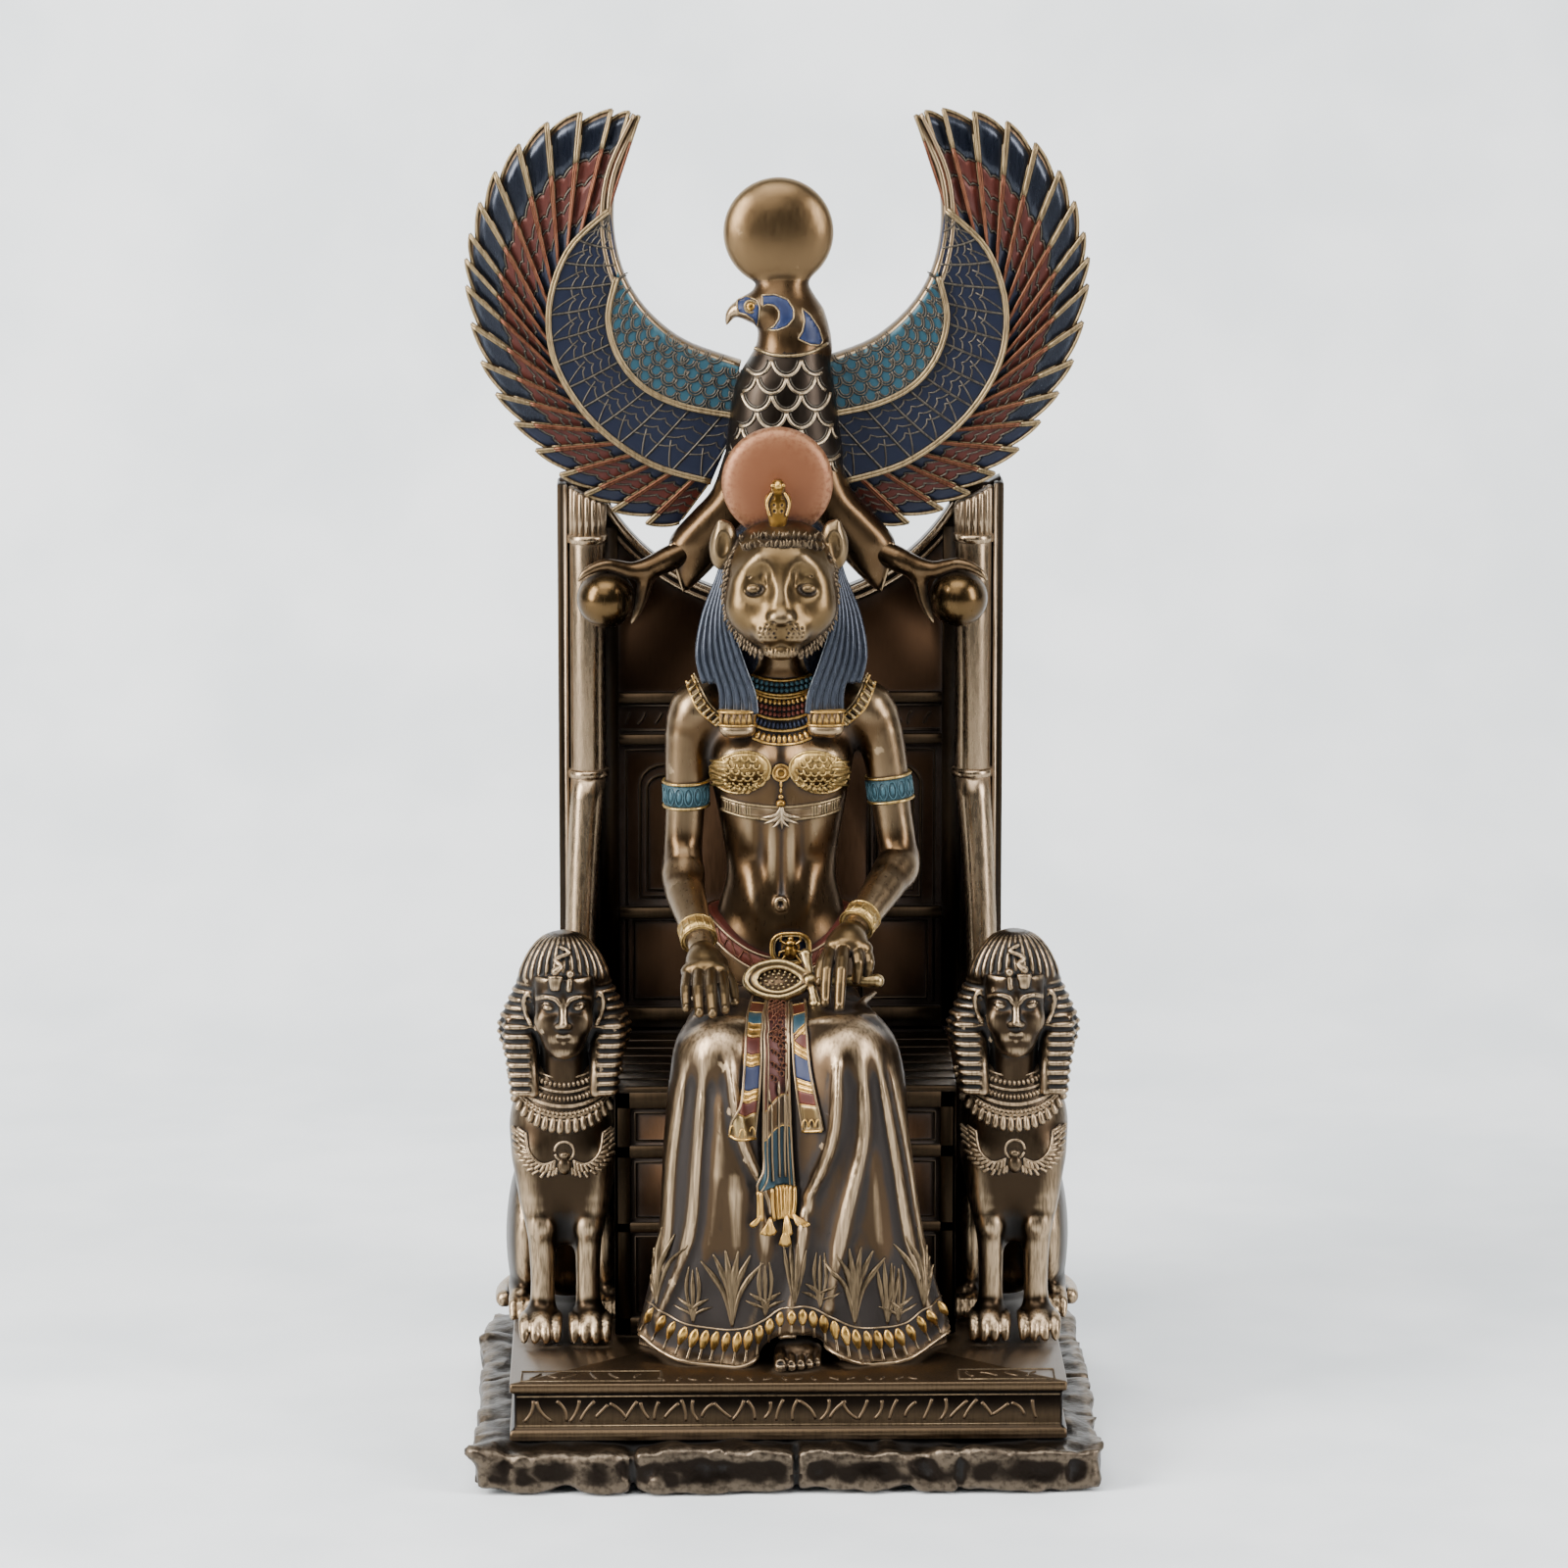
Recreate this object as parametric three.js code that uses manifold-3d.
// Seated lioness-headed goddess on a high-backed throne, with a falcon spreading its wings above the back and a
// sphinx at each side, on a plinth and a course of rough stone blocks. Cold-cast bronze, 273 mm tall.
// Units are millimetres. +X is the viewer's right, the figure faces -Y, +Z is up, and z = 0 is the underside.

import * as THREE from 'three';
import { mergeVertices } from 'three/addons/utils/BufferGeometryUtils.js';
import Module from 'manifold-3d';

const wasm = await Module();
wasm.setup();

// Driving dimensions
const GAP = 0.3;
const BASE = { halfWidth: 65, halfDepth: 58, height: 9, frontCorner: 2.5, backCorner: 15 };
const PLINTH = { halfWidth: 57, halfDepth: 49.5, bottom: BASE.height + GAP, top: 21.4 };
const GROUND = PLINTH.top + GAP;
const SEAT = { halfWidth: 35.6, front: -14, top: 75 };
const BOARD = { halfWidth: 46.8, front: 40, back: 46.5, shoulder: 189, arcCentre: 210.4, arcRadius: 42.4 };
const COLUMN = { x: 41, y: 38.5, radius: 3.8, step: 131, band: 182, top: 193 };
const WING = { centre: -0.7, front: 34.8, back: 39.6, feathers: 20, notch: 2.3 };
const FALCON = { y: 33, collar: 223, discZ: 247.3, discRadius: 11.6, ballX: 38.2, ballZ: 170.3, ballRadius: 5.7 };
const FIGURE = { x: -0.5 };
const HEAD = { x: -0.3, y: 5, z: 176 };
const HEAD_DISC = { x: -1.2, y: 9, z: 198, radius: 11.6, halfThickness: 2.8 };
const SPHINX = { leftX: -45.9, rightX: 47.6, crown: 107.2, chin: 83.2 };

// Vector and section helpers

const point = (x, y, z) => new THREE.Vector3(x, y, z);

// Catmull-Rom value between rows of numbers: rows are stations, t runs from 0 to 1 along them
function between(rows, t) {
  const last = rows.length - 1;
  const place = Math.min(Math.max(t, 0), 1) * last;
  const i = Math.min(Math.floor(place), last - 1);
  const f = place - i;
  const row = (k) => rows[Math.min(Math.max(k, 0), last)];
  return row(i).map((value, c) => {
    const [a, b, d, e] = [row(i - 1)[c], value, row(i + 1)[c], row(i + 2)[c]];
    return b + 0.5 * f * (d - a + f * (2 * a - 5 * b + 4 * d - e + f * (3 * (b - d) + e - a)));
  });
}

const along = (rows, count) => Array.from({ length: count }, (unused, k) => between(rows, k / (count - 1)));

const signedPower = (value, power) => Math.sign(value) * Math.abs(value) ** power;

// Ring of points round a centre with half-axes u and v; power 2 is an ellipse, more is squarer
function oval(centre, u, v, sides, power = 2) {
  return Array.from({ length: sides }, (unused, k) => {
    const angle = (2 * Math.PI * (k + 0.5)) / sides;
    return centre.clone()
      .addScaledVector(u, signedPower(Math.cos(angle), 2 / power))
      .addScaledVector(v, signedPower(Math.sin(angle), 2 / power));
  });
}

const middle = (ring) => ring.reduce((sum, p) => sum.add(p), point(0, 0, 0)).divideScalar(ring.length);

// Closed surface through rings of equal length, each end closed by a fan round its core
function skin(rings, core = middle) {
  const sides = rings[0].length;
  const points = [...rings.flat(), core(rings[0]), core(rings[rings.length - 1])];
  const faces = [];
  for (let r = 0; r + 1 < rings.length; r += 1) {
    for (let i = 0; i < sides; i += 1) {
      const a = r * sides + i;
      const b = r * sides + ((i + 1) % sides);
      faces.push(a, b, b + sides, a, b + sides, a + sides);
    }
  }
  const top = (rings.length - 1) * sides;
  for (let i = 0; i < sides; i += 1) {
    const next = (i + 1) % sides;
    faces.push(points.length - 2, next, i, points.length - 1, top + i, top + next);
  }
  const geometry = new THREE.BufferGeometry().setFromPoints(points);
  geometry.setIndex(signedVolume(points, faces) < 0 ? faces.reverse() : faces);
  return geometry;
}

function signedVolume(points, faces) {
  let sum = 0;
  for (let i = 0; i < faces.length; i += 3) {
    sum += points[faces[i]].dot(points[faces[i + 1]].clone().cross(points[faces[i + 2]]));
  }
  return sum / 6;
}

// Upright form from level sections: rows of [z, x, y, half-width, front half-depth, back half-depth]
function upright(rows, count, sides, power = 2) {
  return skin(along(rows, count).map(([z, x, y, halfWidth, front, back]) => (
    oval(point(0, 0, 0), point(1, 0, 0), point(0, 1, 0), sides, power)
      .map((p) => point(x + halfWidth * p.x, y + (p.y < 0 ? front : back) * p.y, z))
  )));
}

// Limb along stations [x, y, z, half-width, half-thickness]; the width lies along the given side direction
function limb(rows, count, sides, side = point(1, 0, 0), power = 2) {
  const stations = along(rows, count);
  return skin(stations.map((row, k) => {
    const before = stations[Math.max(k - 1, 0)];
    const after = stations[Math.min(k + 1, count - 1)];
    const run = point(after[0] - before[0], after[1] - before[1], after[2] - before[2]).normalize();
    const u = side.clone().addScaledVector(run, -side.dot(run)).normalize();
    const v = run.clone().cross(u);
    return oval(point(row[0], row[1], row[2]), u.multiplyScalar(row[3]), v.multiplyScalar(row[4]), sides, power);
  }));
}

// Strip of ridges side by side, such as fingers, toes or reeds, along stations [x, y, z, half-width, thickness].
// The ridges stand on the side that faces away from the run and the side direction.
function ridged(rows, count, ridges, valley = 0.45, side = point(1, 0, 0)) {
  const stations = along(rows, count);
  return skin(stations.map((row, k) => {
    const before = stations[Math.max(k - 1, 0)];
    const after = stations[Math.min(k + 1, count - 1)];
    const run = point(after[0] - before[0], after[1] - before[1], after[2] - before[2]).normalize();
    const u = side.clone().addScaledVector(run, -side.dot(run)).normalize();
    const v = run.clone().cross(u);
    const top = Array.from({ length: 2 * ridges + 1 }, (unused, i) => [i / ridges - 1, i % 2 === 1 ? 1 : 1 - valley]);
    return [...top, [0.94, -0.5], [-0.94, -0.5]].map(([across, high]) => (
      point(row[0], row[1], row[2]).addScaledVector(u, row[3] * across).addScaledVector(v, -row[4] * high)
    ));
  }), (ring) => middle([ring[0], ...ring.slice(-3)]));
}

function ball(x, y, z, rx, ry, rz, sides = 12, rows = 8) {
  return new THREE.SphereGeometry(1, sides, rows).rotateX(Math.PI / 2).scale(rx, ry, rz).translate(x, y, z);
}

function block(x0, x1, y0, y1, z0, z1) {
  return new THREE.BoxGeometry(x1 - x0, y1 - y0, z1 - z0)
    .translate((x0 + x1) / 2, (y0 + y1) / 2, (z0 + z1) / 2);
}

// Plate cut from an outline in the XZ plane, from y = front to y = back
function plate(outline, front, back, holes = []) {
  const shape = new THREE.Shape(outline.map(([x, z]) => new THREE.Vector2(x, z)));
  holes.forEach((hole) => shape.holes.push(new THREE.Path(hole.map(([x, z]) => new THREE.Vector2(x, z)))));
  return new THREE.ExtrudeGeometry(shape, { depth: back - front, bevelEnabled: false })
    .rotateX(Math.PI / 2).translate(0, back, 0);
}

// Solids: a closed geometry becomes a solid, and solids are joined and cut

function solid(geometry) {
  const bare = geometry.clone();
  bare.deleteAttribute('normal');
  bare.deleteAttribute('uv');
  const merged = mergeVertices(bare, 1e-4);
  const index = [];
  for (let i = 0; i < merged.index.count; i += 3) {
    const [a, b, c] = [0, 1, 2].map((k) => merged.index.getX(i + k));
    if (a !== b && b !== c && c !== a) index.push(a, b, c);
  }
  return new wasm.Manifold(new wasm.Mesh({
    numProp: 3,
    vertProperties: new Float32Array(merged.attributes.position.array),
    triVerts: new Uint32Array(index),
  }));
}

const join = (geometries) => geometries.map(solid).reduce((sum, next) => sum.add(next));
const cut = (body, tools) => tools.map(solid).reduce((rest, tool) => rest.subtract(tool), body);

// The joins leave slivers and needless points. A point is drawn into its neighbour wherever that moves no face
// by more than the tolerance, turns none over, and leaves the surface closed.
function tidied(points, faces, tolerance) {
  const live = faces.map((face) => [...face]);
  const around = points.map(() => new Set());
  live.forEach((face, f) => face.forEach((v) => around[v].add(f)));
  const normalOf = ([a, b, c]) => {
    const edge = points[b].clone().sub(points[a]);
    return edge.cross(points[c].clone().sub(points[a]));
  };
  const planes = points.map(() => []);
  live.forEach((face) => {
    const normal = normalOf(face);
    if (normal.length() < 1e-9) return;
    const plane = new THREE.Plane().setFromNormalAndCoplanarPoint(normal.normalize(), points[face[0]]);
    face.forEach((v) => planes[v].push(plane));
  });
  const neighbours = (v) => new Set([...around[v]].flatMap((f) => live[f]).filter((w) => w !== v));
  const canMove = (from, to) => {
    if (planes[from].some((plane) => Math.abs(plane.distanceToPoint(points[to])) > tolerance)) return false;
    const [ring, other] = [neighbours(from), neighbours(to)];
    const shared = [...ring].filter((w) => other.has(w));
    if (shared.length !== 2 || ring.size + other.size < 9) return false;
    return [...around[from]].every((f) => {
      if (live[f].includes(to)) return true;
      const [was, now] = [normalOf(live[f]), normalOf(live[f].map((v) => (v === from ? to : v)))];
      return now.length() > 0.002 && was.dot(now) >= 0.3 * was.length() * now.length();
    });
  };
  const move = (from, to) => {
    [...around[from]].forEach((f) => {
      if (live[f].includes(to)) {
        live[f].forEach((v) => around[v].delete(f));
        live[f] = null;
      } else {
        live[f] = live[f].map((v) => (v === from ? to : v));
        around[to].add(f);
      }
    });
    around[from].clear();
    planes[to].push(...planes[from]);
  };
  for (let pass = 0, moved = 1; moved > 0 && pass < 8; pass += 1) {
    moved = 0;
    const edges = live.filter(Boolean).flatMap(([a, b, c]) => [[a, b], [b, c], [c, a]]);
    edges.sort((p, q) => points[p[0]].distanceToSquared(points[p[1]]) - points[q[0]].distanceToSquared(points[q[1]]));
    edges.forEach(([from, to]) => {
      const joined = around[from].size > 0 && around[to].size > 0 && [...around[from]].some((f) => live[f].includes(to));
      if (joined && canMove(from, to)) {
        move(from, to);
        moved += 1;
      }
    });
  }
  return live.filter(Boolean);
}

function mesh(name, body, colour, roughness, metalness, tolerance = 0.22) {
  const raw = body.getMesh();
  const points = Array.from({ length: raw.vertProperties.length / 3 }, (unused, k) => (
    new THREE.Vector3().fromArray(raw.vertProperties, 3 * k)
  ));
  const faces = Array.from({ length: raw.triVerts.length / 3 }, (unused, k) => (
    Array.from(raw.triVerts.slice(3 * k, 3 * k + 3))
  ));
  const geometry = new THREE.BufferGeometry().setFromPoints(points);
  geometry.setIndex(tidied(points, faces, tolerance).flat());
  geometry.computeVertexNormals();
  const result = new THREE.Mesh(geometry, new THREE.MeshStandardMaterial({ color: colour, roughness, metalness }));
  result.name = name;
  return result;
}

const shifted = (rows, dx) => rows.map(([x, ...rest]) => [x + dx, ...rest]);

// Stone base: a course of hewn blocks, with a joint every third of the front and rounded back corners

function chipAt(k) {
  const wave = Math.sin(k * 12.9898) * 43758.5453;
  return wave - Math.floor(wave) - 0.5;
}

function baseOutline(inset, chip) {
  const jointsAlongFront = [-32, 1.5, 35];
  const jointsAlongSide = [-30, -2, 26];
  const jointDepth = 1.3;
  const { halfWidth, halfDepth, frontCorner, backCorner } = BASE;
  const run = [];
  const joint = (x, y, nx, ny, tx, ty) => {
    [[-1.2, 0], [0, jointDepth], [1.2, 0]].forEach(([s, d]) => run.push([x + s * tx - d * nx, y + s * ty - d * ny]));
  };
  const corner = (sx, sy, radius, from) => {
    for (let k = 0; k <= 3; k += 1) {
      const angle = from + (k / 3) * (Math.PI / 2);
      run.push([
        sx * (halfWidth - radius) + radius * Math.cos(angle),
        sy * (halfDepth - radius) + radius * Math.sin(angle),
      ]);
    }
  };
  corner(-1, -1, frontCorner, Math.PI);
  jointsAlongFront.forEach((x) => joint(x, -halfDepth, 0, -1, 1, 0));
  corner(1, -1, frontCorner, 1.5 * Math.PI);
  jointsAlongSide.forEach((y) => joint(halfWidth, y, 1, 0, 0, 1));
  corner(1, 1, backCorner, 0);
  [...jointsAlongFront].reverse().forEach((x) => joint(x, halfDepth, 0, 1, -1, 0));
  corner(-1, 1, backCorner, Math.PI / 2);
  [...jointsAlongSide].reverse().forEach((y) => joint(-halfWidth, y, -1, 0, 0, -1));
  return run.map(([x, y], k) => {
    const keep = inset + chip * (0.5 + chipAt(k + 7 * inset));
    return [x * (1 - keep / halfWidth), y * (1 - keep / halfDepth)];
  });
}

function stoneBase() {
  const levels = [[0, 0.9, 0], [1.4, 0, 0.8], [5, 0.1, 1], [7.9, 0.2, 0.9], [BASE.height, 1.5, 0]];
  return join([skin(levels.map(([z, inset, chip]) => baseOutline(inset, chip).map(([x, y]) => point(x, y, z))))]);
}

// Plinth: a smooth step with a projecting moulding at its foot and its top

function plinth() {
  const { halfWidth, halfDepth, bottom, top } = PLINTH;
  const recess = 0.9;
  const profile = [
    [bottom, 0], [bottom + 1.7, 0], [bottom + 2.2, recess],
    [top - 2.2, recess], [top - 1.7, 0], [top - 0.4, 0], [top, 0.4],
  ];
  return join([skin(profile.map(([z, inset]) => {
    const [x, y] = [halfWidth - inset, halfDepth - inset];
    return [point(-x, -y, z), point(x, -y, z), point(x, y, z), point(-x, y, z)];
  }))]);
}

// Throne: seat block with framed niches, back board with an arched top, and a column up each side.
// A swell above zero gives the same form a little larger, to clear what stands against it.

function boardOutline(swell) {
  const { halfWidth, shoulder, arcCentre, arcRadius } = BOARD;
  const outerTop = COLUMN.top + 1.3;
  const arcHalf = Math.acos((arcCentre - shoulder) / arcRadius);
  const arc = Array.from({ length: 13 }, (unused, k) => {
    const angle = arcHalf * (1 - k / 6);
    return [(arcRadius - swell) * Math.sin(angle), arcCentre - (arcRadius - swell) * Math.cos(angle)];
  });
  return [
    [-halfWidth - swell, GROUND - swell], [halfWidth + swell, GROUND - swell],
    [halfWidth + swell, outerTop + swell], ...arc, [-halfWidth - swell, outerTop + swell],
  ];
}

function throneForms(swell) {
  const { halfWidth, front, top } = SEAT;
  const forms = [
    plate(boardOutline(swell), BOARD.front - swell, BOARD.back + swell),
    block(-halfWidth - swell, halfWidth + swell, front - swell, BOARD.front + 1, GROUND - swell, top + swell),
  ];
  [-1, 1].forEach((sign) => {
    const place = (rows) => rows.map(([x, y, z, a, b]) => [sign * x, y, z, a + swell, b + swell]);
    const { x, y, radius, step, band } = COLUMN;
    forms.push(limb(place([
      [x, y, step - 1, radius, radius], [x, y, band + 1, radius, radius],
    ]), 2, 12));
    forms.push(limb(place([
      [x, y, band - 0.9 - swell, radius + 0.5, radius + 0.5], [x, y, band + 0.9 + swell, radius + 0.5, radius + 0.5],
    ]), 2, 12));
    forms.push(limb(place([
      [x + 2.4, 30, GROUND - swell, 3.8, 6], [x + 2.4, 31, 60, 3.6, 5], [x + 1.8, 34.5, 100, 3.5, 4.2],
      [x, y - 0.3, step, 4, 4],
    ]), 5, 8));
    forms.push(capital(sign, swell));
    const strip = [sign * (BOARD.halfWidth - 1.4 - swell), sign * (BOARD.halfWidth + 0.5 + swell)];
    forms.push(block(Math.min(...strip), Math.max(...strip), y - 1, BOARD.back, GROUND - swell, COLUMN.top + swell));
  });
  return forms;
}

// Fluted head of a column, cut on a slant under the wing
function capital(sign, swell) {
  const { x, y, radius, band, top } = COLUMN;
  const points = 20;
  return skin([0, 1].map((level) => Array.from({ length: points }, (unused, k) => {
    const angle = (2 * Math.PI * k) / points;
    const reach = radius + swell + (k % 2 === 0 ? 0.5 : -0.3);
    const across = reach * Math.cos(angle);
    return point(sign * (x + across), y + reach * Math.sin(angle), level === 0 ? band : top - 2 - swell + 0.5 * across);
  })));
}

function throne() {
  const niches = [-1, 1].flatMap((sign) => [[62.5, 70], [46, 59.5], [25.5, 43.5]].map(([low, high]) => {
    const sides = [sign * 19.5, sign * 32].sort((a, b) => a - b);
    return block(...sides, SEAT.front - 1, SEAT.front + 0.9, low, high);
  }));
  const sideNiches = [-1, 1].flatMap((sign) => [[-10.5, 8], [11.5, 26]].map(([near, far]) => {
    const faces = [sign * (SEAT.halfWidth - 0.9), sign * (SEAT.halfWidth + 1)].sort((a, b) => a - b);
    return block(...faces, near, far, 27, 68);
  }));
  const seatGrooves = Array.from({ length: 6 }, (unused, k) => (
    block(-SEAT.halfWidth - 1, SEAT.halfWidth + 1, -8.5 + 7 * k, -7.5 + 7 * k, SEAT.top - 0.7, SEAT.top + 1)
  ));
  const boardRecesses = [
    block(-34.5, 34.5, BOARD.front - 1, BOARD.front + 0.8, 148.5, 166),
    block(-34.5, 34.5, BOARD.front - 1, BOARD.front + 0.8, 139.8, 145.8),
    block(-34.5, 34.5, BOARD.front - 1, BOARD.front + 0.8, 79, 137),
  ];
  const rails = [
    ...[-1, 1].map((sign) => {
      const sides = [sign * 19, sign * 30].sort((a, b) => a - b);
      return block(...sides, BOARD.front - 0.4, BOARD.front + 1.5, 86, 132);
    }),
    block(-34.6, 34.6, BOARD.front - 0.5, BOARD.front + 1.5, 99, 101.5),
  ];
  return cut(join(throneForms(0)), [...niches, ...sideNiches, ...seatGrooves, ...boardRecesses])
    .add(join(rails));
}

const throneClearance = () => throneForms(GAP);
const groundClearance = () => block(-80, 80, -80, 80, 0, GROUND);

// Falcon: body with raised wings, a disc on its head, angular thighs, and talons round a ball at each side.
// The wing is laid out by four lines from its tip to its root, as [x, z] distances from the falcon's middle.

const WING_EDGE = [
  [28.9, 271.6], [34.5, 273], [48, 270.3], [59, 260], [64.4, 247], [65.3, 236], [62.3, 220], [55.5, 207],
  [46, 196], [35, 188.4], [22, 183.5],
];
const WING_LINE = [[35.4, 252], [43.7, 244], [47.8, 233], [47.4, 222], [43, 212.5], [36, 204.6], [26, 198], [14, 194.5]];
const COVERT_LINE = [[33.8, 238], [35.6, 229.5], [33.6, 221.5], [28.5, 215], [20, 210.8], [8, 208.5]];
const LEADING_EDGE = [
  [28.9, 271.6], [34, 260.5], [35.4, 251.3], [34.6, 243], [32, 235.5], [27, 228.7], [19.5, 223], [8, 218.8],
];

// Row of overlapping feathers from an outer line to an inner line; each stands proud of the one after it
function feathers(sign, outerLine, innerLine, count, notch, front, back, step) {
  const rings = [];
  for (let k = 0; k < count; k += 1) {
    [[0, 0], [0.94, 1]].forEach(([late, sunk]) => {
      const outer = between(outerLine, (k + late) / count);
      const inner = between(innerLine, (k + late) / count);
      const reach = Math.hypot(inner[0] - outer[0], inner[1] - outer[1]);
      const share = (sunk * notch) / reach;
      const tip = [0, 1].map((c) => outer[c] + share * (inner[c] - outer[c]));
      const face = front + sunk * step;
      rings.push([[tip, face + 0.9], [tip, back], [inner, back], [inner, face]].map(([[x, z], y]) => (
        point(WING.centre + sign * x, y, z)
      )));
    });
  }
  return skin(rings);
}

function wing(sign) {
  const { centre, front, back } = WING;
  const root = [[6, 190], [3, 205], [4, 216]];
  const inside = (line, share) => line.map(([x, z]) => [x + share * (14 - x), z + share * (214 - z)]);
  const lead = along(LEADING_EDGE, 10);
  const web = [...along(WING_LINE, 9), ...root, ...lead.filter(([x, z]) => z < 250).reverse()]
    .map(([x, z]) => [centre + sign * x, z]);
  const bar = lead.map(([x, z], k) => [centre + sign * x, (front + back) / 2 - 0.4, z, 3, 0.9 + 0.1 * k]);
  return [
    feathers(sign, WING_EDGE, inside(WING_LINE, 0.08), WING.feathers, WING.notch, front, back, 0.9),
    feathers(sign, WING_LINE, inside(COVERT_LINE, 0.12), 9, 0.6, front - 1, back - 0.6, 0.7),
    plate(sign > 0 ? [...web].reverse() : web, front - 0.3, back - 0.3),
    feathers(sign, COVERT_LINE, inside(COVERT_LINE, 0.75), 5, 0.5, front - 1.8, back - 0.8, 0.5),
    limb(bar, 10, 6, point(0, 1, 0)),
  ];
}

function falconLeg(sign) {
  const x = (value) => WING.centre + sign * value;
  const { y, ballX, ballZ, ballRadius } = FALCON;
  const thigh = skin([
    [[3, -6, 205], [8, -7.5, 204.5], [12.5, -3, 203.5], [12, 5, 203], [8, 6, 204], [4, 5, 205]],
    [[5, -7, 188], [12.5, -9, 188.5], [19.2, -4.5, 190.2], [18.4, 4, 190], [12, 5, 189], [6, 4, 188.5]],
    [[13.5, -6, 176], [20.5, -6.5, 171], [23.8, -4, 180.3], [22.5, 4, 180], [20, 3, 172], [14, 3, 176.5]],
  ].map((ring) => ring.map(([across, away, z]) => point(x(across), y + away, z))));
  const shank = limb([
    [x(18), y - 3, 176.6, 3, 3], [x(25), y - 3.4, 174.6, 2.4, 2.4], [x(32), y - 4, 173, 3.2, 2.8],
  ], 3, 6, point(0, 0, 1));
  const reach = ballRadius + 0.5;
  const toe = (turn) => {
    const spot = (angle, thick) => {
      const level = reach * Math.cos(angle) * Math.cos(turn);
      return [x(ballX - level), y - 4.5 - reach * Math.cos(angle) * Math.sin(turn), ballZ + reach * Math.sin(angle),
        thick, thick * 0.8];
    };
    return limb([spot(0.35, 2), spot(1.2, 1.8), spot(2, 1.4), spot(2.75, 0.4)], 4, 5, point(0, 1, 0));
  };
  const spur = limb([
    [x(31.5), y - 4, 172.6, 2.6, 2.4], [x(32.4), y - 4, 168, 1.9, 2], [x(34.5), y - 5, 164.8, 0.6, 0.8],
  ], 3, 5);
  return [
    thigh, shank, toe(0.55), toe(-0.35), spur,
    ball(x(ballX), y - 4.5, ballZ, ballRadius, ballRadius, ballRadius, 10, 7),
    limb([[x(ballX), y - 4, ballZ, 3, 3], [x(ballX + 1.5), BOARD.front, ballZ, 3, 3]], 2, 6),
  ];
}

function falcon() {
  const { y, collar, discZ, discRadius } = FALCON;
  const body = upright([
    [172, -0.3, y + 3, 5, 2, 3], [183, 0, y + 2, 8, 5, 4], [197, 0.6, y, 12.4, 8.5, 6.4],
    [207, 0.6, y, 11.8, 9, 6.4], [216, 0.8, y, 10.4, 8.4, 6], [collar, 2, y, 7.6, 6.2, 5.4],
    [224, 2.3, y, 7.2, 5.8, 5.4], [230, 1.8, y, 6.6, 5.6, 5.6], [234.5, 0.5, y, 5.6, 4.2, 4.6], [239, -0.3, y + 1, 3.6, 2.6, 2.6],
  ], 11, 12);
  const brow = ball(-3.4, y, 231.6, 4.6, 4.4, 3.5, 8, 6);
  const beak = limb([
    [-4.5, y, 231.4, 2.9, 2.6], [-8.2, y, 231.2, 1.9, 2], [-10.6, y, 229.8, 1.2, 1.1], [-11.3, y, 227.9, 0.5, 0.4],
  ], 4, 6, point(0, 1, 0));
  const disc = ball(-0.5, y + 1.5, discZ, discRadius, 5.4, discRadius, 16, 7);
  return cut(
    join([body, brow, beak, disc, ...wing(-1), ...wing(1), ...falconLeg(-1), ...falconLeg(1)]),
    throneClearance(),
  );
}

// Sekhmet: seated figure, hands on her lap, an ankh lying across it

// Skirt below the knees, as rows [z, x, half-width, y, front depth, back depth, flare]: two legs stand forward
// under the cloth, and folds open towards the hem
const SKIRT = [
  [GROUND, 1.4, 32.2, -25.6, 12.6, 11.3, 1], [32, 1.5, 31, -25.6, 12.2, 11.2, 0.9], [48, 0.8, 27.2, -25.2, 11.2, 10.8, 0.5],
  [66, 0, 25.4, -24.6, 10.6, 10.2, 0.3], [79, -0.3, 24.2, -24, 10.2, 9.7, 0.1], [87, -0.5, 22.6, -23.6, 8.6, 9.2, 0],
  [92, -0.5, 19.4, -22, 4.6, 8, 0],
];
const LEG_RELIEF = 2.8;
const FOLD_RELIEF = 1.1;
const CLOTH_POWER = 2.5;

function skirtPoint([z, x, halfWidth, y, front, back, flare], across, away, folded) {
  const legs = away < 0 ? -LEG_RELIEF * Math.cos(2 * Math.PI * Math.abs(across)) * (1 - 0.8 * flare) : 0;
  const fold = away < 0.3 ? FOLD_RELIEF * flare * folded : 0;
  const depth = (away < 0 ? front : back) + legs + fold;
  return point(x + (halfWidth + 0.6 * fold) * across, y + depth * away, z);
}

function skirt() {
  const rings = along(SKIRT, 8).map((row) => (
    oval(point(0, 0, 0), point(1, 0, 0), point(0, 1, 0), 32, CLOTH_POWER)
      .map((p, k) => skirtPoint(row, p.x, p.y, k % 2 === 0 ? 1 : -1))
  ));
  const arch = limb([[FIGURE.x, -60, 20.8, 6.2, 7.2], [FIGURE.x, -31, 20.8, 5.8, 6.4]], 2, 8);
  return cut(join([skin(rings)]), [arch]);
}

// Point on the front of the skirt at x and z, and on top of the lap at x and y, for what hangs over them
const mixed = (rows, value) => {
  const i = Math.max(rows.findIndex((row, k) => k > 0 && (row[0] - value) * (rows[k - 1][0] - value) <= 0), 1);
  const share = (value - rows[i - 1][0]) / (rows[i][0] - rows[i - 1][0]);
  return rows[i].map((entry, c) => rows[i - 1][c] + share * (entry - rows[i - 1][c]));
};
function skirtFront(x, z, lift) {
  const row = mixed(SKIRT, z);
  const across = (x - row[1]) / row[2];
  const away = -((1 - Math.abs(across) ** CLOTH_POWER) ** (1 / CLOTH_POWER));
  return [x, skirtPoint(row, across, away, 0).y - lift, z];
}

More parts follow.
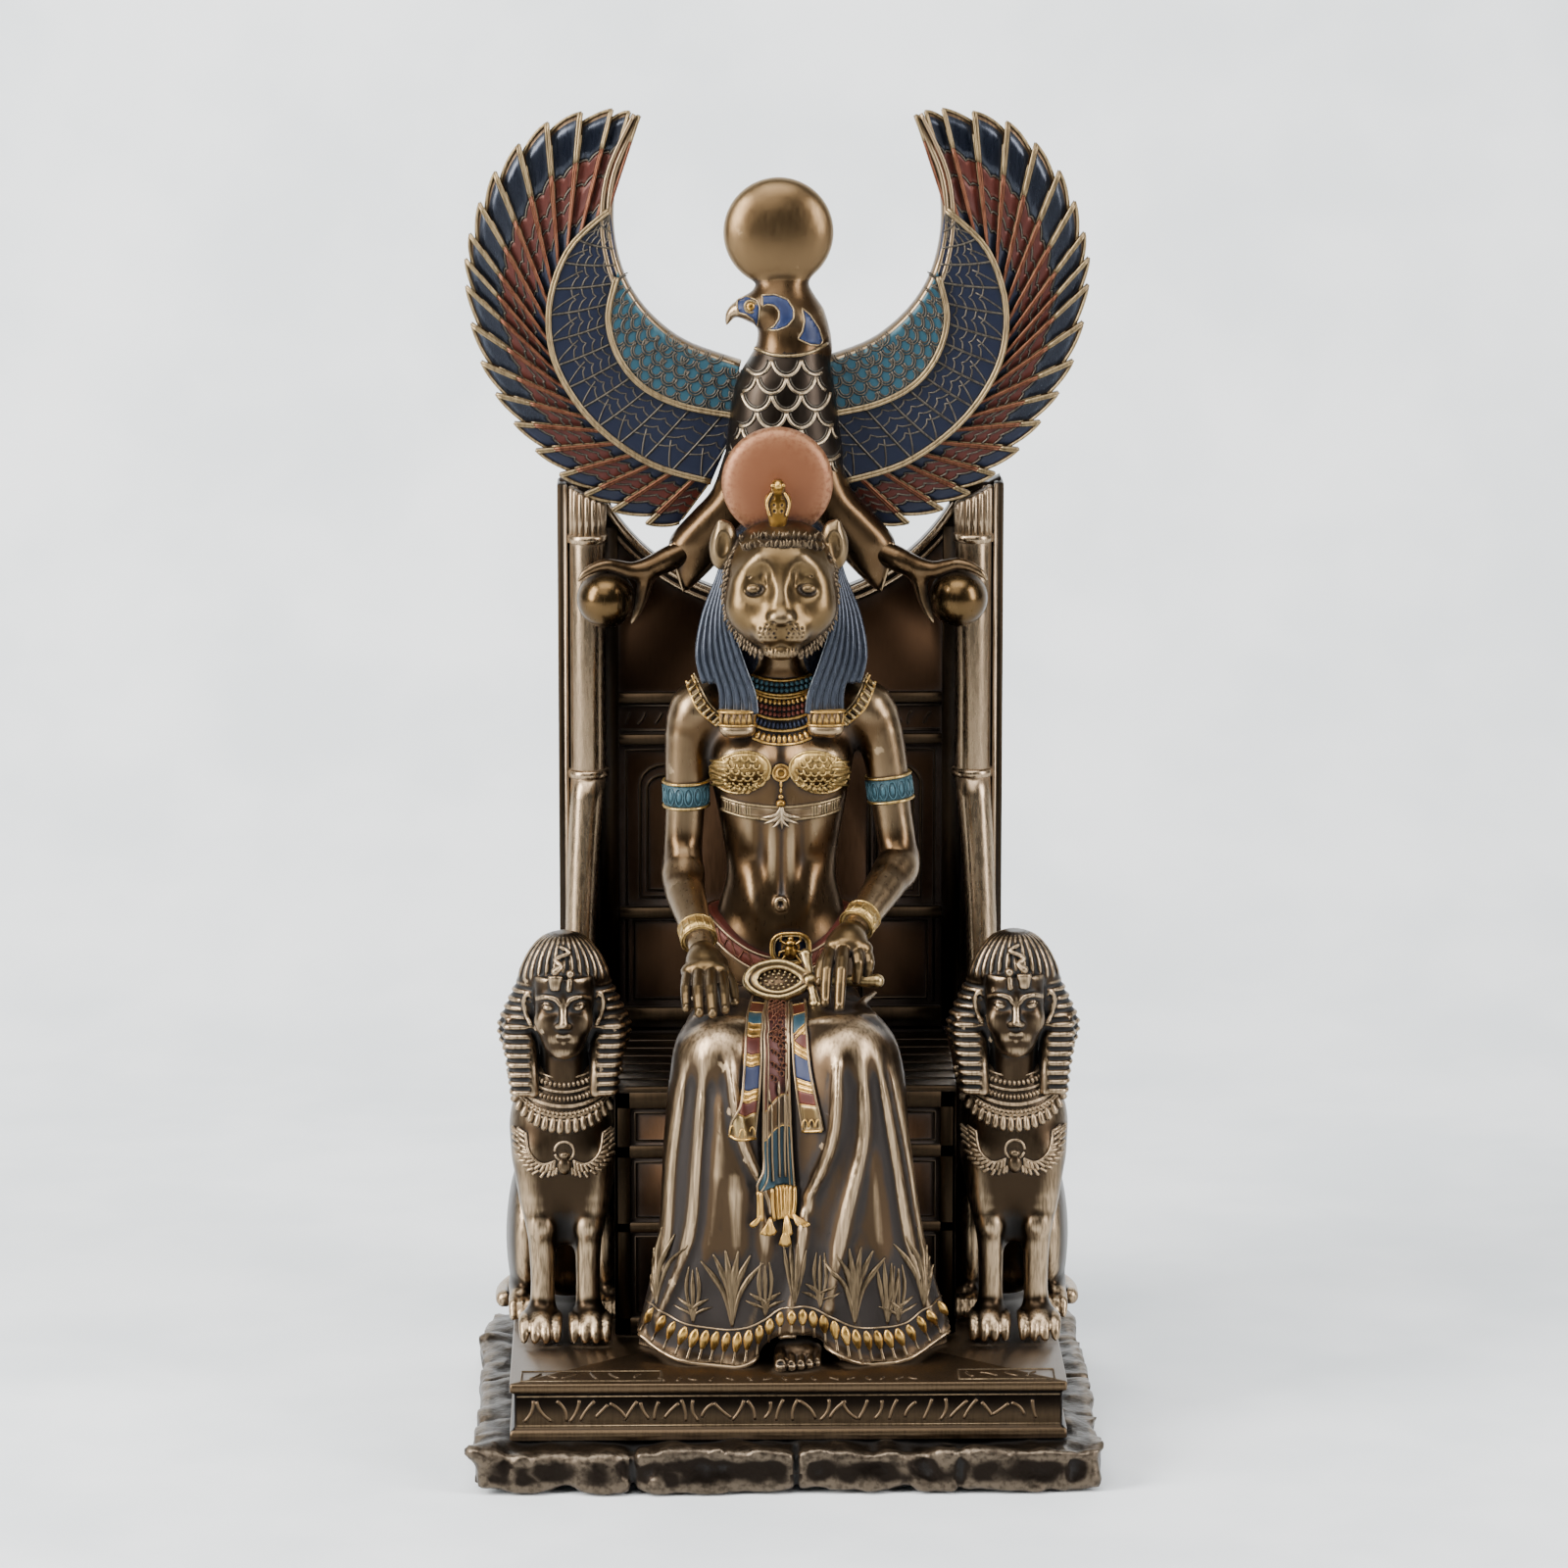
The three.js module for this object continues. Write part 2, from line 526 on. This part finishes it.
// Lap: both thighs under one cloth, from the hips to the knees, as rows [y, half-width, top, bottom, knee part]
const LAP = [
  [22, 17.4, 92, 75, 0], [8, 19, 92.6, 75, 0.2], [-8, 20.8, 93, 75, 0.6], [-20, 21.4, 93, 74, 1], [-26, 20.4, 92.4, 75, 1.2],
  [-30, 17.4, 90, 77, 1.2],
];
const SADDLE = 3;
const saddle = (across, knees) => SADDLE * knees * Math.exp(-((across / 0.24) ** 2));

function lap() {
  return skin(along(LAP, 7).map(([y, halfWidth, top, bottom, knees]) => (
    oval(point(0, 0, 0), point(1, 0, 0), point(0, 0, 1), 16, CLOTH_POWER).map((p) => point(
      FIGURE.x + halfWidth * p.x,
      y,
      (top + bottom) / 2 + ((top - bottom) / 2) * p.z - (p.z > 0 ? saddle(p.x, knees) : 0),
    ))
  )));
}

function lapTop(x, y, lift) {
  const [, halfWidth, top, bottom, knees] = mixed(LAP, y);
  const across = (x - FIGURE.x) / halfWidth;
  const rise = (1 - Math.abs(across) ** CLOTH_POWER) ** (1 / CLOTH_POWER);
  return [x, y, (top + bottom) / 2 + ((top - bottom) / 2) * rise - saddle(across, knees) + lift];
}

const TORSO = [
  [76, -0.5, 15, 17.6, 12, 13], [88, -0.5, 15, 17.2, 11.5, 12.5], [99, -0.4, 15, 15.4, 10.8, 11],
  [108, -0.4, 15, 13, 8.9, 8.8], [115, -0.3, 15, 11.6, 7.8, 8], [124, -0.3, 15, 12.6, 7.9, 8.6], [134, -0.4, 15, 14.4, 8.6, 9.4],
  [145, -0.4, 15, 16.2, 8.1, 9.6], [150.4, -0.4, 15.3, 17.2, 6.4, 8.4], [156, -0.4, 15.3, 11, 5.2, 6.6],
  [160, -0.4, 13.6, 5.9, 5, 5.6], [166, -0.4, 12, 5.6, 5.4, 6],
];
const LEFT_ARM = [
  [-16.5, 15, 149.6, 4.6, 5], [-19.2, 14.6, 145.2, 5.1, 5.2], [-20.1, 14, 139, 4.4, 4.8], [-20.4, 13.4, 129, 4.1, 4.4],
  [-21, 12.4, 118, 4.1, 4.5], [-20.2, 4, 112.4, 3.9, 4], [-18.4, -5, 107.4, 3.3, 3.2], [-17.2, -12, 103.4, 2.9, 2.5],
];
const RIGHT_ARM = [
  [16, 15, 149.8, 4.6, 5], [19.2, 14.6, 146.2, 5.1, 5.2], [21.6, 14, 139, 4.4, 4.8], [22.9, 13.6, 129, 4.1, 4.4],
  [24.1, 12.6, 118.5, 4.2, 4.5], [21.2, 5, 113.6, 3.9, 4], [17, -3, 109.2, 3.3, 3.2], [14, -8.5, 106.4, 2.9, 2.6],
];

function hands() {
  const [left, right] = [[
    [-17.3, -10.4, 103.9, 2.5, 2.1], [-16.8, -15, 101, 4, 2.4], [-16.3, -20.5, 98, 4.9, 2.2], [-16.1, -25, 95.8, 5, 1.9],
    [-16, -29, 92.6, 4.4, 1.4],
  ], [
    [14.4, -7.3, 106.9, 2.5, 2.2], [13, -12, 105, 3.9, 2.6], [12.2, -17, 101.6, 4.8, 2.5], [11.6, -20.4, 97, 4.9, 2.2],
    [11.2, -21.6, 92.4, 4.4, 1.6],
  ]];
  return [
    ridged(left, 5, 4, 0.5), ridged(right, 5, 4, 0.5),
    limb([[-12.8, -15, 99.6, 1.6, 1.5], [-10.9, -20.5, 96.4, 1.3, 1.3], [-10.8, -25, 93.4, 0.9, 0.9]], 3, 5),
    limb([[9.4, -12, 103, 1.6, 1.5], [6.8, -17, 98.6, 1.4, 1.4], [6.4, -20.4, 94, 0.9, 0.9]], 3, 5),
  ];
}

// Ankh: a tear-shaped loop, a cross bar and a shaft, lying with the loop to her right
function ankh() {
  const loopAt = (size, k) => {
    const angle = (2 * Math.PI * k) / 12;
    const narrow = 1 - 0.45 * Math.max(Math.cos(angle), 0) ** 1.5;
    return [-1.9 + size * 6.6 * Math.cos(angle), 4.4 * size * narrow * Math.sin(angle)];
  };
  const ring = (size) => Array.from({ length: 12 }, (unused, k) => loopAt(size, k));
  return [
    plate(ring(1), -1.2, 1.2, [ring(0.56).reverse()]),
    plate([[2.4, -6.2], [5.2, -6.2], [4.6, 0], [5.2, 6.2], [2.4, 6.2], [3.4, 0]], -1.1, 1.3),
    plate([[3.8, -1.2], [19, -1.7], [19, 1.7], [3.8, 1.2]], -1, 1.1),
  ].map((shape) => shape.rotateX(0.95).rotateZ(-0.06).translate(0, -14, 97.6));
}

// Head of a lioness: broad brow, flat nose and square muzzle, inside a ruff of short mane
function head() {
  const { x, y, z } = HEAD;
  const ears = [-1, 1].map((sign) => limb([
    [x + sign * 9, y + 3, z + 8, 3.4, 2.2], [x + sign * 10.8, y + 2.6, z + 11.4, 3.2, 1.7], [x + sign * 12, y + 2.4, z + 13.4, 1, 0.8],
  ], 3, 6));
  const face = upright([
    [z - 12.4, x, y - 6, 3.4, 3.4, 6], [z - 9.8, x, y - 5.6, 5.4, 5.2, 6], [z - 6.4, x, y - 5, 7, 7, 7],
    [z - 3, x, y - 3, 9.4, 7, 7], [z + 1, x, y - 2, 11, 5, 7], [z + 5.4, x, y - 1.4, 11, 5.6, 7],
    [z + 9.6, x, y, 8.4, 5, 6], [z + 12, x, y + 1, 3.4, 2.6, 3],
  ], 8, 10);
  return [
    face,
    limb([[x, y - 5, z + 6, 3.4, 2.4], [x, y - 8.6, z, 2.7, 2.2], [x, y - 11.4, z - 4.6, 2.8, 1.8]], 3, 6),
    ball(x, y + 2.6, z, 13.3, 5.6, 13.2, 14, 8),
    ...ears,
  ];
}

// Wig: reeded mass over the back of the head, and a reeded lappet down each side of the chest
function wig() {
  const levels = [
    [138, 22, 11.5, 2, 4], [147, 21, 15.4, 4, 5.6], [157, 17, 17.6, 8, 8.8], [167, 13, 16, 8, 10.4], [177, 10, 13.4, 6, 10.8],
    [184, 10, 10.6, 5.4, 8.2], [188, 10, 6, 3.6, 4.4],
  ];
  const back = skin(along(levels, 7).map(([z, y, halfWidth, front, rear]) => (
    oval(point(0, 0, 0), point(1, 0, 0), point(0, 1, 0), 20).map((p, k) => {
      const reed = k % 2 === 0 ? 1 : 0.94;
      return point(-0.4 + halfWidth * reed * p.x, y + (p.y < 0 ? front : rear) * reed * p.y, z);
    })
  )));
  const lappets = [-1, 1].map((sign) => ridged([
    [-0.4 + sign * 11.8, 6.4, 181, 2.2, 2], [-0.4 + sign * 13.4, 6, 171, 3.6, 2.6], [-0.4 + sign * 12.6, 5.2, 160, 4.3, 2.6],
    [-0.4 + sign * 9.6, 4.6, 151, 4.2, 2.2], [-0.4 + sign * 9.2, 3.8, 146.4, 4, 2.4],
  ], 5, 4, 0.3));
  return [back, ...lappets];
}

function jewellery() {
  const collar = upright([
    [151, -0.4, 13.6, 17.6, 9.2, 9.6], [155, -0.4, 13.8, 15.8, 8.4, 9], [161, -0.4, 13.4, 8, 6.8, 7],
  ], 3, 14);
  const cups = [-1, 1].map((sign) => ball(-0.4 + sign * 7.7, 7.4, 138.6, 6.6, 6.6, 6, 10, 6));
  const pendant = plate([[-1.6, 140], [-1.4, 134], [-5, 128.2], [3.8, 128.2], [0.2, 134], [0.4, 140]].reverse(), 3.2, 8);
  const ribBand = upright([[128.7, -0.4, 15, 14.2, 8.9, 9.5], [131.4, -0.4, 15, 14.6, 9.1, 9.8]], 2, 12);
  const bands = [
    [[-20.1, 13.7, 135, 4.9, 5.1], [-20.2, 13.4, 128.6, 4.8, 5]], [[21.9, 13.8, 136, 4.9, 5.1], [22.7, 13.5, 129.6, 4.8, 5]],
    [[-18.3, -5.6, 107.2, 3.9, 3.8], [-17.6, -9.4, 105, 3.6, 3.4]], [[16.6, -3.8, 109, 3.9, 3.8], [14.8, -7.2, 107, 3.6, 3.4]],
  ].map((rows) => limb(rows, 2, 8));
  return [collar, ...cups, pendant, ribBand, ...bands];
}

// Girdle dipping to a scarab buckle, and the woven apron with its side straps down between the knees
function girdle() {
  const belt = [0, 1].map((k) => oval(point(0, 0, 0), point(1, 0, 0), point(0, 1, 0), 16).map((p) => {
    const dip = p.y < 0 ? 7.5 * p.y * p.y : 0;
    return point(-0.4 + (16.8 - k) * p.x, 14.6 + (12.4 - k * 1.2) * p.y, 103.4 + k * 4.6 - dip);
  }));
  const strap = (stations) => limb(stations.map(([spot, half]) => [...spot, half * 1.35, 1.5]), stations.length, 4);
  const lift = 0.5;
  return [
    skin(belt),
    ball(0.2, 2.4, 101.8, 4.4, 2.6, 5, 8, 6),
    strap([
      [[-1.6, 2, 97], 2.6], [lapTop(-1.8, -14, lift), 2.7], [lapTop(-2, -28, lift), 2.8], [skirtFront(-2, 86, lift + 0.8), 3],
      [skirtFront(-2, 70, lift), 3.5], [skirtFront(-1.8, 58, lift), 3.9], [skirtFront(-1.6, 46, lift + 0.6), 5],
    ]),
    strap([
      [lapTop(-5.4, -14, lift), 1.6], [lapTop(-6, -28, lift), 1.7], [skirtFront(-6.6, 86, lift + 0.6), 1.8],
      [skirtFront(-9.2, 71, lift), 2.4],
    ]),
    strap([
      [lapTop(2.6, -14, lift), 1.6], [lapTop(3, -28, lift), 1.7], [skirtFront(3.4, 86, lift + 0.6), 1.8],
      [skirtFront(5.8, 71, lift), 2.4],
    ]),
  ];
}

function sekhmet() {
  const { x, y, z, radius, halfThickness } = HEAD_DISC;
  const disc = ball(x, y, z, radius, halfThickness, radius, 18, 6);
  const cobra = limb([
    [-1.2, 4.6, 187, 1.5, 1.6], [-1.2, 4.6, 192, 2.3, 1.6], [-1.2, 4.8, 195.6, 2.7, 1.4], [-1.2, 4.4, 198.8, 1.2, 1.8],
  ], 4, 6);
  const foot = ridged([[2, -26, 27, 4.4, 3], [2.2, -36, 25, 4.8, 2.4], [2.4, -42.6, 22.6, 5, 1.2]], 3, 5, 0.4);
  const body = join([
    upright(TORSO, 10, 12), lap(), limb(LEFT_ARM, 7, 7), limb(RIGHT_ARM, 7, 7), ...hands(), ...ankh(),
    ...head(), ...wig(), ...jewellery(), ...girdle(), foot, disc, cobra,
  ]).add(skirt());
  return cut(body, [...throneClearance(), groundClearance()]);
}

// Guardian sphinx: a lion's body sitting upright, with a royal head-cloth, beaded collar and winged scarab

function sphinx(centre) {
  const rows = (list) => shifted(list, centre);
  const outward = Math.sign(centre);
  const cloth = upright([
    [80, centre, -7, 12.6, 3.6, 6], [88, centre, -7.6, 13.7, 5, 7], [95, centre, -9, 10.6, 6, 7.6],
    [101.5, centre, -10, 8.2, 7.2, 7], [105.4, centre, -10, 5.6, 5.2, 5], [SPHINX.crown, centre, -10, 2.4, 2.4, 2.4],
  ], 6, 12);
  const face = upright([
    [78, centre, -11, 4.6, 4, 6], [SPHINX.chin, centre, -15, 3.2, 4, 4], [86, centre, -14.4, 4.3, 5.6, 4],
    [92, centre, -14, 5.4, 6, 4], [98, centre, -13.6, 5.4, 5.6, 4], [101, centre, -13, 4.8, 4.4, 4],
  ], 6, 10);
  const nose = limb(rows([[0, -19, 95, 0.8, 0.8], [0, -20.6, 90.4, 1.3, 1.2]]), 2, 4);
  const lappets = [-1, 1].map((sign) => limb(rows([
    [sign * 10, -9.6, 88, 3.4, 3], [sign * 9.4, -13, 81, 3.4, 2.6], [sign * 8.4, -14.8, 73.6, 3.1, 2.4],
  ]), 3, 4));
  const chest = upright([
    [41, centre, -9, 6.6, 5, 8], [51, centre, -9, 8.8, 7.6, 12], [60, centre, -8.6, 11, 9, 14],
    [67, centre, -8, 11.3, 9, 12], [73, centre, -8, 9.8, 7.6, 10], [80, centre, -8.6, 5.6, 5, 7],
  ], 6, 10);
  const back = limb(rows([
    [0, -6, 70, 8, 7], [0, 4, 58, 9.6, 11], [0, 12, 46, 10.4, 13], [0, 17, 34, 9.6, 11], [0, 18, 24, 8, 7],
  ]), 5, 8);
  const collar = upright([
    [67.4, centre, -8.4, 11.8, 9.6, 9], [70.4, centre, -8.6, 11.6, 9.6, 9], [75, centre, -8.8, 8, 7, 8],
  ], 3, 12);
  const limbs = [-1, 1].flatMap((sign) => [
    limb(rows([
      [sign * 5.8, -12.5, 56, 4.4, 5], [sign * 5.2, -14.4, 45, 3.2, 3.6], [sign * 5, -14.8, 33, 2.7, 3], [sign * 5, -15, 23, 3.2, 3.6],
    ]), 4, 6),
    ridged(rows([[sign * 5.1, -12, 25, 3.6, 3], [sign * 5.1, -18, 24.6, 4.9, 2.8], [sign * 5.1, -21.6, 22.8, 4.5, 1.3]]), 3, 4, 0.35),
    ball(centre + sign * 8.6, 9, 38, 4.8, 12, 15.6, 9, 6),
    ridged(rows([[sign * 9.6, 4, 26, 2.4, 3], [sign * 9.4, -1, 24.8, 3, 2.4], [sign * 9.4, -4, 23, 2.8, 1.2]]), 3, 3, 0.35),
  ]);
  const tail = limb(rows([
    [4 * outward, 24, 26, 1.6, 1.6], [11 * outward, 22, 24, 1.5, 1.5], [13.6 * outward, 14, 23.6, 1.5, 1.5],
    [13.2 * outward, 6, 23.8, 1.9, 1.6],
  ]), 4, 5, point(0, 0, 1));
  const scarab = [
    [-8.6, 66], [-8.6, 61], [-5.6, 57.4], [0, 54.8], [5.6, 57.4], [8.6, 61], [8.6, 66], [6.6, 66], [5.4, 61.4], [1.8, 59.8],
    [1.8, 62.4], [-1.8, 62.4], [-1.8, 59.8], [-5.4, 61.4], [-6.6, 66],
  ].map(([x, z]) => [centre + x, z]);
  const cobra = limb(rows([[0, -16.6, 99, 1.2, 1], [0, -18.4, 101.6, 1.3, 1], [0, -17.6, 104, 0.9, 0.9]]), 3, 4);
  return cut(
    join([cloth, face, nose, chest, back, collar, ...lappets, ...limbs, tail, plate(scarab, -18.3, -12), cobra]),
    [...throneClearance(), groundClearance()],
  );
}

const statue = new THREE.Group();
statue.add(
  mesh('stone_base', stoneBase(), 0x3a322b, 0.6, 0.6),
  mesh('plinth', plinth(), 0x4a3c2e, 0.45, 0.8),
  mesh('throne', throne(), 0x3c2e24, 0.4, 0.85),
  mesh('falcon', falcon(), 0x8a6c4c, 0.35, 0.9),
  mesh('sekhmet', sekhmet(), 0xa07c54, 0.32, 0.95),
  mesh('sphinx_left', sphinx(SPHINX.leftX), 0x6e5238, 0.38, 0.9),
  mesh('sphinx_right', sphinx(SPHINX.rightX), 0x6e5238, 0.38, 0.9),
);

export default statue;
